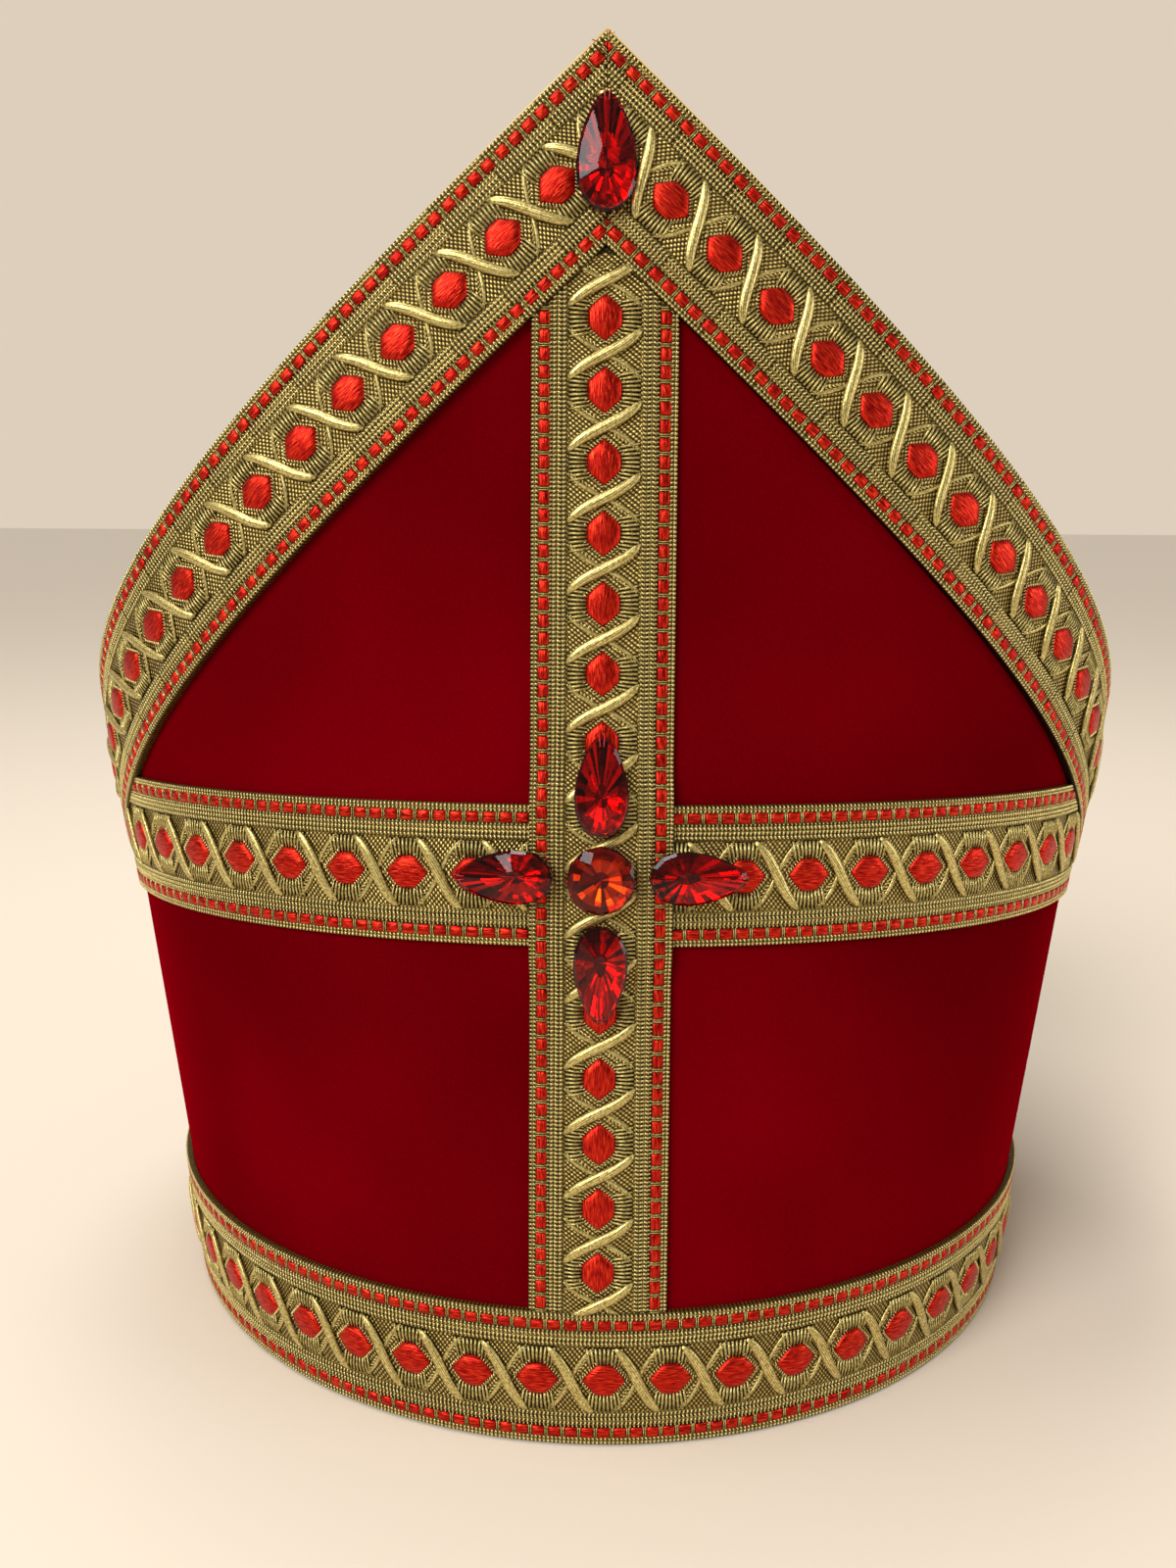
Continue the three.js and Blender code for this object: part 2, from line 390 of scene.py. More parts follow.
def gold_satin():
    """Acetate lining satin: smooth and yellow gold, with a soft streaky lustre painted into its colour and
    the low places of its folds painted darker as shade.
    """
    material, tree = new_material("gold_lining_satin")
    place = node(tree, "ShaderNodeTexCoord").outputs["Object"]
    stretched = node(tree, "ShaderNodeMapping", None, Vector=place, Scale=(40, 40, 500))
    streak_bump_and_painted_sheen = node(tree, "ShaderNodeTexNoise", None, Vector=stretched, Scale=1.0, Detail=3.0)
    folds_bump_and_painted_shade = node(tree, "ShaderNodeTexNoise", None, Vector=place, Scale=22.0, Detail=1.0)
    tone = calc(tree, "MULTIPLY_ADD", streak_bump_and_painted_sheen.outputs["Fac"], 0.4, folds_bump_and_painted_shade.outputs["Fac"])
    # painted light: the streaks are a painted sheen and the low places of the folds painted shade; the same
    # noise also makes the bump
    colour = ramp(tree, tone, (0.4, "#A87A1E"), (0.7, "#D9AE45"), (0.95, "#F0D070"))
    height = calc(tree, "MULTIPLY_ADD", folds_bump_and_painted_shade.outputs["Fac"], 8.0, streak_bump_and_painted_sheen.outputs["Fac"])
    finish_material(
        tree,
        Base_Color=colour,
        Roughness=0.34,
        Specular_IOR_Level=0.5,
        Sheen_Weight=0.2,
        Normal=bump_of(tree, height, 0.12, 0.6),
    )
    return material


def flat_place(tree):
    """Where a point lies on its strip: along it, and up from its lower selvedge, in mm."""
    read = node(tree, "ShaderNodeAttribute", None)
    read.attribute_name = "flat"
    split = node(tree, "ShaderNodeSeparateXYZ", None, Vector=read.outputs["Vector"])
    return read.outputs["Vector"], split.outputs[0], split.outputs[1]


def thread_run(tree):
    """The direction in which the strip runs at each point."""
    read = node(tree, "ShaderNodeAttribute", None)
    read.attribute_name = "run"
    return read.outputs["Vector"]


def threads(tree, value, pitch):
    """Round threads side by side: 0 in the gaps between them, 1 on their crowns."""
    folded = calc(tree, "PINGPONG", value, pitch / 2)
    return calc(tree, "POWER", calc(tree, "DIVIDE", folded, pitch / 2), 0.6)


def choose(tree, test, yes, no):
    links = {"i0": test, "i2": no, "i3": yes}
    return node(tree, "ShaderNodeMix", {"data_type": "FLOAT"}, **links).outputs[0]


def gold_ground():
    """Metallised thread, woven and tarnished to an old gold, its thread crowns painted bright as highlight
    and its gaps painted dark as shade.
    """
    material, tree = new_material("antique_gold_woven_ground")
    where, along, up = flat_place(tree)
    off = calc(tree, "ABSOLUTE", calc(tree, "SUBTRACT", up, MIDDLE))
    # towards the selvedges, columns of short stitches that lean one way and the other
    column = threads(tree, calc(tree, "ADD", up, 0.01), 0.925)
    lean = calc(tree, "PINGPONG", calc(tree, "ADD", up, 0.01), 0.925)
    leaning = threads(tree, calc(tree, "MULTIPLY_ADD", lean, 0.35, along), PITCH / STITCHES)
    # the braid's ground is darkened by a quarter as painted shade between its raised stitches
    braid = calc(tree, "MULTIPLY", calc(tree, "MULTIPLY", column, leaning), 0.75)
    # in the corners between the cords, a lozenge weave, drawn twice as coarse as its
    # threads, which are too fine to show
    one_way = threads(tree, calc(tree, "MULTIPLY_ADD", off, 0.8, along), 1.04)
    other_way = threads(tree, calc(tree, "MULTIPLY_ADD", off, -0.8, along), 0.88)
    lozenge = calc(tree, "MULTIPLY", one_way, other_way)
    # beside each medallion the ground's relief, and so its colour, is cut to three tenths: painted shade
    # under the floats, with a flatter bump
    from_medallion = calc(tree, "WRAP", along, PITCH / 2, -PITCH / 2)
    reach = calc(tree, "MULTIPLY_ADD", off, -0.35, calc(tree, "ABSOLUTE", from_medallion))
    beside = calc(tree, "LESS_THAN", reach, 1.6)
    field = choose(tree, beside, calc(tree, "MULTIPLY", lozenge, 0.3), lozenge)
    inside = calc(tree, "LESS_THAN", off, FIELD_HALF)
    weave_relief_and_painted_light = choose(tree, inside, field, braid)
    broken = node(tree, "ShaderNodeTexNoise", None, Vector=where, Scale=1.6, Detail=2.0)
    height = calc(tree, "MULTIPLY", weave_relief_and_painted_light, calc(tree, "ADD", broken.outputs["Fac"], 0.5))
    # painted light: the relief that makes the bump also picks the colour, so thread crowns get a painted
    # highlight and the gaps between threads painted shade
    colour = ramp(
        tree,
        height,
        (0.08, "#1E1505"),
        (0.35, "#63501F"),
        (0.62, "#A58D47"),
        (0.95, "#F2DF9A"),
    )
    finish_material(
        tree,
        Base_Color=colour,
        Metallic=0.8,
        Roughness=0.36,
        Normal=bump_of(tree, height, 0.18, 0.9),
    )
    return material


def gold_cord():
    """Floated metallised thread: pale and smooth, with the strands running along it, their crowns painted
    bright as highlight and the gaps between them painted dark as shade.
    """
    material, tree = new_material("pale_gold_floated_cord")
    where, _, _ = flat_place(tree)
    read = node(tree, "ShaderNodeAttribute", None)
    read.attribute_name = "thread"
    split = node(tree, "ShaderNodeSeparateXYZ", None, Vector=read.outputs["Vector"])
    twist = calc(tree, "MULTIPLY", split.outputs[0], 0.012)
    strand = threads(tree, calc(tree, "ADD", split.outputs[1], twist), 1 / STRANDS)
    broken = node(tree, "ShaderNodeTexNoise", None, Vector=where, Scale=2.4, Detail=2.0)
    height = calc(tree, "MULTIPLY_ADD", strand, 0.45, broken.outputs["Fac"])
    # painted light: each strand's crown is painted bright as highlight and the gaps between strands dark as
    # shade
    colour = ramp(tree, height, (0.35, "#54431A"), (0.7, "#A08C46"), (1.0, "#E6D590"))
    finish_material(
        tree,
        Base_Color=colour,
        Metallic=0.7,
        Roughness=0.33,
        Anisotropic=0.5,
        Normal=bump_of(tree, height, 0.05, 0.7),
    )
    return material


def red_satin():
    """Rayon satin stitches: vermilion red, the floats running along the strip."""
    material, tree = new_material("vermilion_satin_float")
    where, _, _ = flat_place(tree)
    fine = node(tree, "ShaderNodeMapping", None, Vector=where, Scale=(0.5, 4.5, 1.0))
    strand = node(tree, "ShaderNodeTexNoise", None, Vector=fine, Scale=1.0, Detail=2.0)
    colour = ramp(
        tree,
        strand.outputs["Fac"],
        (0.3, "#70080A"),
        (0.5, "#B41A10"),
        (0.7, "#E8401E"),
    )
    finish_material(
        tree,
        Base_Color=colour,
        Metallic=0.85,
        Roughness=0.3,
        Specular_IOR_Level=0.2,
        Anisotropic=0.8,
        Tangent=thread_run(tree),
        Normal=bump_of(tree, strand.outputs["Fac"], 0.14, 0.7),
    )
    return material


def plain_thread(name, colour, metallic):
    """A single twisted thread, too thin for the eye to see its ply: one soft colour."""
    material, tree = new_material(name)
    finish_material(tree, Base_Color=linear(colour), Metallic=metallic, Roughness=0.5)
    return material


def stone_body(name, tint):
    """Cast acrylic, tinted through: clear and glossy, over a mirror foil."""
    material, tree = new_material(name)
    finish_material(
        tree,
        Base_Color=linear(tint),
        Roughness=0.02,
        IOR=1.33,
        Transmission_Weight=1.0,
    )
    return material


def stone_foil(name, dark, bright):
    """Vacuum-metallised backing: a coloured mirror, its facets painted lighter as flashes of reflected light
    or darker as painted shade.
    """
    material, tree = new_material(name)
    read = node(tree, "ShaderNodeAttribute", None)
    read.attribute_name = "painted_flash"
    # painted light: the ramp turns each facet's painted value into a shaded dark or a flashing bright colour
    colour = ramp(tree, read.outputs["Fac"], (0.1, dark), (0.9, bright))
    finish_material(tree, Base_Color=colour, Metallic=1.0, Roughness=0.14)
    return material


VELVET = velvet()
SATIN = gold_satin()
GROUND = gold_ground()
CORD = gold_cord()
RED = red_satin()
RED_THREAD = plain_thread("red_rayon_sewing_thread", "#B01418", 0.0)
GOLD_THREAD = plain_thread("gold_wrapped_thread", "#B79C52", 0.6)
RUBY = stone_body("ruby_tinted_acrylic", "#F01830")
AMBER = stone_body("orange_tinted_acrylic", "#F2581E")
RUBY_FOIL = stone_foil("ruby_mirror_foil", "#5A0410", "#FF1C2C")
AMBER_FOIL = stone_foil("orange_mirror_foil", "#5A1C08", "#FFB848")

# --- Camera, floor and light ----------------------------------------------------------

CAMERA_PLACE = (0.44, -345.2, 191.6)
CAMERA_DOWN = 0.2119
CAMERA_LEFT = 0.0119
CAMERA_ROLL = 0.0056
LENS = 31.53


def camera():
    sight = Vector(
        (
            -math.sin(CAMERA_LEFT) * math.cos(CAMERA_DOWN),
            math.cos(CAMERA_LEFT) * math.cos(CAMERA_DOWN),
            -math.sin(CAMERA_DOWN),
        )
    )
    level = Vector((math.cos(CAMERA_LEFT), math.sin(CAMERA_LEFT), 0))
    upright = level.cross(sight)
    right = math.cos(CAMERA_ROLL) * level + math.sin(CAMERA_ROLL) * upright
    up = math.cos(CAMERA_ROLL) * upright - math.sin(CAMERA_ROLL) * level
    turned = Matrix((right, up, -sight)).transposed().to_4x4()
    data = bpy.data.cameras.new("camera")
    data.sensor_width = 36
    data.lens = LENS
    data.clip_start = 0.01
    made = link_object("camera", data)
    made.matrix_world = Matrix.Translation(Vector(CAMERA_PLACE) * MM) @ turned
    bpy.context.scene.camera = made


def far_light(name, place, spread, strength):
    """A broad light so far off that it falls evenly on the hat and the floor."""
    data = bpy.data.lights.new(name, "SUN")
    data.angle = math.radians(spread)
    data.energy = strength
    made = link_object(name, data)
    made.location = place
    made.rotation_euler = (-Vector(place)).to_track_quat("-Z", "Y").to_euler()


def area_light(name, place, target, size, power, colour="#FFFFFF"):
    data = bpy.data.lights.new(name, "AREA")
    data.shape = "RECTANGLE"
    data.size, data.size_y = size
    data.energy = power
    data.color = linear(colour)[:3]
    made = link_object(name, data)
    made.location = place
    made.rotation_euler = (
        (Vector(target) - Vector(place)).to_track_quat("-Z", "Y").to_euler()
    )


def studio_air(world):
    """A dim room round the hat, with a pale wall behind it for the eye alone."""
    tree = world.node_tree
    tree.nodes.clear()
    room = node(tree, "ShaderNodeBackground", None, Color=linear("#E6DCCF"), Strength=0.36)
    wall = node(tree, "ShaderNodeBackground", None, Color=linear("#DDCFBC"), Strength=1.0)
    seen = node(tree, "ShaderNodeLightPath").outputs["Is Camera Ray"]
    mixed = node(tree, "ShaderNodeMixShader", None, Fac=seen, i1=room, i2=wall)
    node(tree, "ShaderNodeOutputWorld", None, Surface=mixed)


def studio():
    floor = link_object(
        "floor",
        mesh_of(
            "floor",
            [(-6, -6, 0), (6, -6, 0), (6, 6, 0), (-6, 6, 0)],
            [(0, 1, 2, 3)],
        ),
    )
    material, tree = new_material("pale_matt_card")
    finish_material(tree, Base_Color=linear("#DDD0BE"), Roughness=0.85)
    floor.data.materials.append(material)
    world = bpy.data.worlds.new("studio_air")
    world.use_nodes = True
    studio_air(world)
    bpy.context.scene.world = world
    centre = (0, 0, 0.15)
    far_light("key_window", (-0.6, -0.78, 0.7), 38, 2.9)
    area_light("fill_softbox", (1.0, -0.3, 0.4), centre, (0.5, 0.5), 3)
    area_light("top_softbox", (-0.2, 0.1, 1.2), centre, (0.6, 0.4), 9)
    bpy.context.scene.view_settings.view_transform = "Standard"


# --- Velvet halves and linings --------------------------------------------------------


def raked_height(columns, inward):
    """The height where each column, from one side seam to the other, meets the edge."""
    height = np.full(columns.shape, NOTCH_HEIGHT)
    for _ in range(40):
        reach = np.abs(arc_to(columns * seam_angle(height), height))
        height = PEAK_HEIGHT - EDGE_SLOPE * reach - inward * EDGE_STRETCH
    return height


def seam_angle(height):
    return np.arccos(SEAM_GAP / 2 / half_depth(height))


def half_wall(name, columns, section, back):
    """A closed half of the wall, from its section: shares of the way up, lifts and rises."""
    shares = np.linspace(-1, 1, columns + 1)
    points = []
    for corner in section:
        top = raked_height(shares, 0.0)
        height = corner["up"] * (top + corner["over"]) + (1 - corner["up"]) * corner["foot"]
        points.append(on_wall(shares * seam_angle(height), height, corner["lift"]))
    count = len(section)
    grid = np.array(points).transpose(1, 0, 2).reshape(-1, 3) * MM
    if back:
        grid[:, :2] *= -1
    faces = []
    for i in range(columns):
        for j in range(count):
            n = (j + 1) % count
            faces.append((i * count + j, (i + 1) * count + j, (i + 1) * count + n, i * count + n))
    faces.append(tuple(range(count)))
    faces.append(tuple(columns * count + j for j in reversed(range(count))))
    return link_object(name, mesh_of(name, grid, faces))


def wall_section(rows, foot, outer, inner, rim):
    """Up the outer face, over the rim's own points, and down the inner face."""
    ups = np.linspace(0, 1, rows + 1)
    first, last = rim[0]["over"], rim[-1]["over"]
    section = [{"up": u, "lift": outer, "over": first, "foot": foot} for u in ups]
    section += [{"up": 1.0, "lift": r["lift"], "over": r["over"], "foot": foot} for r in rim]
    section += [{"up": u, "lift": inner, "over": last, "foot": foot} for u in ups[::-1]]
    return section


def keep_edges_crisp(piece, degrees=50):
    bm = bmesh.new()
    bm.from_mesh(piece.data)
    for edge in bm.edges:
        if edge.calc_face_angle(0) > math.radians(degrees):
            edge.smooth = False
    bm.to_mesh(piece.data)
    bm.free()


def halves():
    inside = -SHELL_THICKNESS - LINING_GAP
    # the velvet's rim is rounded, and stops short under the lining's roll
    velvet_rim = [
        {"lift": -0.1, "over": -0.75},
        {"lift": -SHELL_THICKNESS / 2, "over": -0.6},
        {"lift": 0.1 - SHELL_THICKNESS, "over": -0.75},
    ]
    # the satin comes up behind the velvet, turns out over its rim and is rounded back
    satin_roll = [
        {"lift": inside, "over": -0.55},
        {"lift": -0.15, "over": -0.5},
        {"lift": 0.05, "over": 0.0},
        {"lift": -0.2, "over": 0.75 * LINING_ROLL},
        {"lift": -1.0, "over": LINING_ROLL},
        {"lift": -2.2, "over": LINING_ROLL},
        {"lift": inside - 0.7 * LINING_THICKNESS, "over": 0.7 * LINING_ROLL},
        {"lift": inside - LINING_THICKNESS, "over": 0.0},
    ]
    shell_section = wall_section(24, 0.0, 0.0, -SHELL_THICKNESS, velvet_rim)
    lining_section = wall_section(24, 1.5, inside, inside - LINING_THICKNESS, satin_roll)
    for side, back in (("front", False), ("back", True)):
        for cad, name, section, material, slot in (
            ("shell", "velvet_half", shell_section, VELVET, "velvet"),
            ("lining", "satin_lining", lining_section, SATIN, "satin"),
        ):
            piece = half_wall(f"{side}_{name}", 96, section, back)
            keep_edges_crisp(piece)
            piece.data.materials.append(material)
            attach(piece, "root")
            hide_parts(f"{side}_{cad}")


# --- The galloon: its ground ----------------------------------------------------------

# Ridges across half the strip: where each stands from the selvedge, its half width and
# its rise, all in millimetres. The other half mirrors them.
RIDGES = [
    {"at": 0.40, "half": 0.36, "rise": 0.32},
    {"at": 1.12, "half": 0.32, "rise": 0.28},
    {"at": 4.55, "half": 0.45, "rise": 0.34},
    {"at": 5.48, "half": 0.45, "rise": 0.38},
    {"at": 6.40, "half": 0.45, "rise": 0.34},
]
CROWN = 0.15
FIELD_FLOOR = 0.1


def ground_rise(up):
    """How far the ground's ribs and crowned middle stand above its floor."""
    mirrored = MIDDLE - np.abs(up - MIDDLE)
    rise = np.zeros_like(mirrored)
    for ridge in RIDGES:
        share = np.clip(1 - ((mirrored - ridge["at"]) / ridge["half"]) ** 2, 0, 1)
        rise = np.maximum(rise, ridge["rise"] * np.sqrt(share))
    field = np.clip(1 - ((up - MIDDLE) / FIELD_HALF) ** 2, 0, 1)
    return np.maximum(rise, FIELD_FLOOR + CROWN * field) * (mirrored > 0.02)


def ground_profile():
    """Points across the strip, close together over each ridge."""
    steps = (-1, 0, 1)
    ups = [0.0] + [r["at"] + r["half"] * k for r in RIDGES for k in steps]
    ups += [MIDDLE - FIELD_HALF * k for k in (0.95, 0.6, 0.3)]
    half = np.array(ups)
    return np.concatenate([half, [MIDDLE], WIDTH - half[::-1]])


def strip_ground(name, row, stations, back):
    """The strip itself: its ribbed face, its selvedges and its flat back."""
    place, start, end, depth = row["place"], row["start"], row["end"], row["depth"]
    ups = ground_profile()
    rises = ground_rise(ups)
    ups = np.concatenate([ups, [WIDTH, 0.0]])
    rises = np.concatenate([rises, [-depth, -depth]])
    shares = np.linspace(0, 1, stations + 1)
    along = start(ups)[None, :] + (end(ups) - start(ups))[None, :] * shares[:, None]
    up = np.broadcast_to(ups, along.shape)
    angle, height, lift = place(along, up)
    points = on_wall(angle, height, lift + rises) * MM
    repeats = (along - row["first"]) * PITCH / row["pitch"]
    flat = np.stack([repeats, up, np.broadcast_to(rises, along.shape)], axis=-1)
    grid = points.reshape(-1, 3)
    if back:
        grid[:, :2] *= -1
    count, total = len(ups), len(shares)
    faces = []
    for i in range(total - 1):
        for j in range(count):
            n = (j + 1) % count
            faces.append((i * count + j, (i + 1) * count + j, (i + 1) * count + n, i * count + n))
    faces.append(tuple(range(count)))
    faces.append(tuple((total - 1) * count + j for j in reversed(range(count))))
    mesh = mesh_of(name, grid, faces)
    layer = mesh.attributes.new("flat", "FLOAT_VECTOR", "POINT")
    layer.data.foreach_set("vector", flat.reshape(-1))
    made = link_object(name, mesh)
    made.data.materials.append(GROUND)
    keep_edges_crisp(made, 75)
    return made


# --- The galloon: its raised work, laid along the strip by geometry nodes -------------

MEDALLION_LENGTH = 8.6
MEDALLION_WIDTH = 6.5
MEDALLION_FLAT = 3.3
SQUARE_LONG = 2.5
SQUARE_WIDE = 2.1
SQUARE_AT = 2.5
SQUARES = 4
CORD_RUN = 4.6
CORD_REACH = 6.9


def medallion_outline(count):
    """A hexagon drawn out along the strip, its corners a little rounded."""
    half_long, half_wide = MEDALLION_LENGTH / 2, MEDALLION_WIDTH / 2
    flat = MEDALLION_FLAT / 2
    outline = []
    for k in range(count):
        turn = 2 * math.pi * k / count
        x, y = math.cos(turn), math.sin(turn)
        slanted = half_wide * half_long / (
            abs(x) * half_wide + abs(y) * (half_long - flat)
        )
        level = half_wide / max(abs(y), 1e-6)
        sharp = min(slanted, level)
        oval = 1 / math.hypot(x / half_long, y / half_wide)
        reach = 0.75 * sharp + 0.25 * oval
        outline.append((reach * x, reach * y))
    return outline


def satin_motif():
    """One repeat's red satin: a padded medallion and the squares near each selvedge."""
    parts = Parts()
    rings = [(1.0, 0.0), (1.0, 0.35), (0.88, 0.74), (0.6, 0.94)]
    pillow(parts, (0, MIDDLE, 0.2), medallion_outline(24), 1.0, rings)
    long, wide = SQUARE_LONG / 2, SQUARE_WIDE / 2
    corner = [(long, 0.8 * wide), (0.88 * long, wide)]
    square = corner + [(-x, y) for x, y in reversed(corner)]
    square += [(-x, -y) for x, y in corner] + [(x, -y) for x, y in reversed(corner)]
    for k in range(SQUARES):
        for up in (SQUARE_AT, WIDTH - SQUARE_AT):
            along = (k - SQUARES / 2) * PITCH / SQUARES
            rings = [(1, 0), (0.98, 0.55), (0.72, 0.95)]
            pillow(parts, (along, up, 0), square, 0.55, rings)
    return parts.mesh("satin_motif")


def cord_path(turned, stations):
    """An S across the middle of the strip; turned is 1 for one way and -1 for the other."""
    share = np.linspace(-1, 1, stations)
    across = share + 0.12 * np.sin(math.pi * share)
    up = MIDDLE - turned * CORD_REACH * across
    return share * CORD_RUN, up


def cord_motif():
    """One repeat's gold: crossing cords, radiating floats, stitches and bars."""
    parts = Parts()
    # the upper cord crosses midway between two medallions
    along, up = cord_path(1, 15)
    share = np.linspace(-1, 1, 15)
    swell = np.sqrt(np.clip(1 - share**2, 0.03, 1))
    path = np.stack([along + PITCH / 2, up, 0.5 + 0.4 * swell], axis=1)
    swept(parts, path, 1.12 * swell**0.8, 0.58 * swell, 8)
    # the under cord ducks below it
    along, up = cord_path(-1, 15)
    ducked = 0.26 + 0.16 * swell - 0.26 * np.exp(-((share / 0.22) ** 2))
    path = np.stack([along + PITCH / 2, up, ducked], axis=1)
    swept(parts, path, 0.42 * swell**0.7, 0.28 * swell, 8)
    # floats that radiate from each side of the medallion to the ribs
    for k in range(-4, 5):
        for side in (-1, 1):
            inner = (k * 0.68, MIDDLE + side * (3.35 - 0.2 * abs(k)))
            outer = (k * 0.88, MIDDLE + side * 6.75)
            middle = ((inner[0] + outer[0]) / 2, (inner[1] + outer[1]) / 2)
            path = [(*inner, 0.36), (*middle, 0.66), (*outer, 0.40)]
            swept(parts, path, [0.2, 0.29, 0.24], [0.16, 0.22, 0.16], 4)
    # stitches along the medallion's four slanting sides
    half_long, half_wide = MEDALLION_LENGTH / 2 + 0.3, MEDALLION_WIDTH / 2 + 0.25
    for k in range(8):
        share = k / 7
        x = half_long + (MEDALLION_FLAT / 2 - half_long) * share
        y = 0.25 + (half_wide - 0.25) * share
        for sx in (-1, 1):
            for sy in (-1, 1):
                dash(parts, (sx * x, MIDDLE + sy * y, 0.3), 0.36, 0.15, 0.42, sx * sy * 1.1)
    # stitches beside the cords, in the corners of the ground
    for k in range(7):
        for side in (-1, 1):
            y = MIDDLE + side * (2.0 + 0.7 * k)
            x = PITCH / 2 + side * (1.7 + 0.43 * k)
            dash(parts, (x, y, 0.2), 0.42, 0.17, 0.36, 0.2)
    # rows of stitches: two at each selvedge, one past the squares and three in the braid
    for up, long, wide, foot, turn in (
        (0.42, 0.34, 0.24, 0.15, 1.2),
        (1.14, 0.34, 0.24, 0.12, -1.2),
        (3.87, 0.22, 0.18, 0.12, 1.5),
        (4.55, 0.46, 0.25, 0.2, 1.25),
        (5.48, 0.46, 0.25, 0.24, -1.25),
        (6.40, 0.46, 0.25, 0.2, 1.25),
    ):
        for k in range(STITCHES):
            x = (k - (STITCHES - 1) / 2) * PITCH / STITCHES
            dash(parts, (x, up, foot), long, wide, 0.34, turn)
            dash(parts, (x, WIDTH - up, foot), long, wide, 0.34, -turn)
    # two thin bars between each pair of squares
    for k in range(SQUARES):
        for up in (SQUARE_AT, WIDTH - SQUARE_AT):
            for offset in (-0.2, 0.2):
                x = (k - SQUARES / 2 + 0.5) * PITCH / SQUARES + offset
                path = [(x, up - 1.15, 0.2), (x, up, 0.4), (x, up + 1.15, 0.2)]
                swept(parts, path, [0.1, 0.13, 0.1], [0.1, 0.13, 0.1], 4)
    return parts.mesh("cord_motif")


